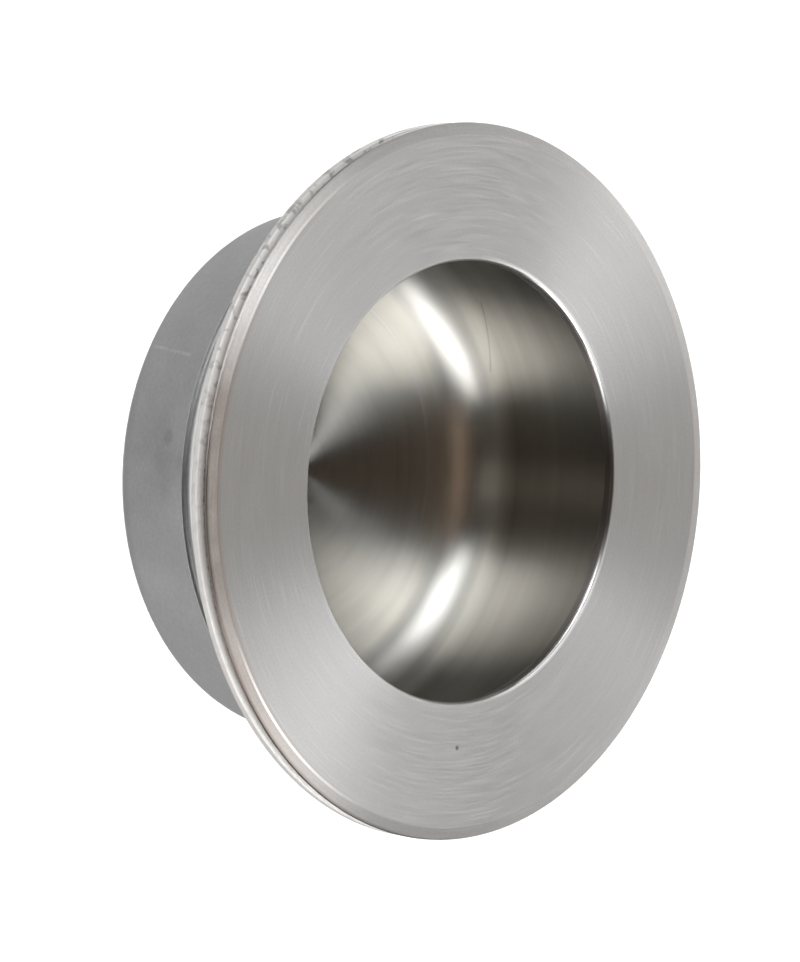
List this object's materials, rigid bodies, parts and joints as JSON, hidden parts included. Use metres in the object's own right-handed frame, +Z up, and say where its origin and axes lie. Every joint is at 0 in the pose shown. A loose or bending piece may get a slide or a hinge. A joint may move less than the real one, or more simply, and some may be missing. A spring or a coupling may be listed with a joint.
{
  "type": "pocket door pull",
  "caption": "Round flush pull for a sliding door: a flat ring flange whose lip overhangs a closed cup for the finger, with a collar behind the flange that fits a bore in the door.",
  "frame": {"origin": "on the pull's axis, in the plane where the flange seats on the face of the door", "axes": "+Y along the axis, from the finger opening back into the door; +Z up; the opening faces -Y"},
  "size_m": [0.065, 0.022, 0.065],
  "materials": {
    "face_plate": "stainless steel, brushed in rings about the axis, satin",
    "backing_ring": "stainless steel, turned bright, with traces of the bond along the seam",
    "cup": "stainless steel, dull outside with light rubs, turned and satin inside"
  },
  "bodies": {
    "root": {"face_plate": "face_plate", "backing_ring": "backing_ring", "cup": "cup"}
  },
  "joints": []
}
